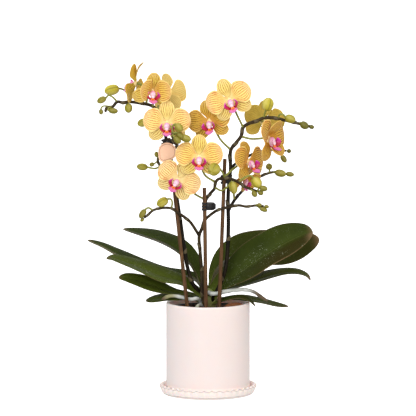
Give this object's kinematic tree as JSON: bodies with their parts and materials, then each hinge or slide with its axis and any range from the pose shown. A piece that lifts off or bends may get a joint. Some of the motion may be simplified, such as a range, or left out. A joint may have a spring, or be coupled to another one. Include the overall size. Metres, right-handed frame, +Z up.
{
  "type": "potted orchid",
  "caption": "Moth orchid with striped yellow blooms and buds on staked flower spikes, over thick leaves, in a plain round pot on a fluted saucer.",
  "frame": {"origin": "centre of the saucer's flat underside, on the pot's axis", "axes": "+Z up along the pot; the view in the picture looks along +Y, with +X to the right"},
  "size_m": [0.2932, 0.1224, 0.4182],
  "materials": {
    "ceramic": "satin",
    "nursery": "matte",
    "bark": "matte",
    "crown": "matte",
    "leaf": "satin",
    "root": "matte",
    "wood": "matte",
    "clip": "satin",
    "card": "matte",
    "spike": "matte",
    "tepal": "satin",
    "lip": "satin"
  },
  "bodies": {
    "root": {"saucer": "ceramic", "pot": "ceramic", "nursery_pot": "nursery", "bark": "bark", "crown": "crown", "leaf_left_front": "leaf", "leaf_left_top": "leaf", "leaf_left_long": "leaf", "leaf_left_low": "leaf", "leaf_left_rim": "leaf", "leaf_right_front": "leaf", "leaf_right_back": "leaf", "leaf_right_low": "leaf", "leaf_right_rim": "leaf", "leaf_right_small": "leaf", "aerial_root_left": "root", "aerial_root_right": "root", "aerial_root_front": "root", "stake_left": "wood", "stake_middle": "wood", "stake_right": "wood", "clip_left": "clip", "clip_middle": "clip", "clip_right": "clip", "tag": "card", "flower_spike_left": "spike", "flower_spike_middle": "spike", "flower_spike_right": "spike", "bloom_left_1": "tepal", "bloom_left_1_lip": "lip", "bloom_left_2": "tepal", "bloom_left_2_lip": "lip", "bloom_left_3": "tepal", "bloom_left_3_lip": "lip", "bloom_left_4": "tepal", "bloom_left_4_lip": "lip", "bloom_middle_1": "tepal", "bloom_middle_1_lip": "lip", "bloom_middle_2": "tepal", "bloom_middle_2_lip": "lip", "bloom_middle_3": "tepal", "bloom_middle_3_lip": "lip", "bloom_middle_4": "tepal", "bloom_middle_4_lip": "lip", "bloom_right_1": "tepal", "bloom_right_1_lip": "lip", "bloom_right_2": "tepal", "bloom_right_2_lip": "lip", "bloom_right_3": "tepal", "bloom_right_3_lip": "lip", "bloom_right_4": "tepal", "bloom_right_4_lip": "lip"}
  },
  "joints": []
}
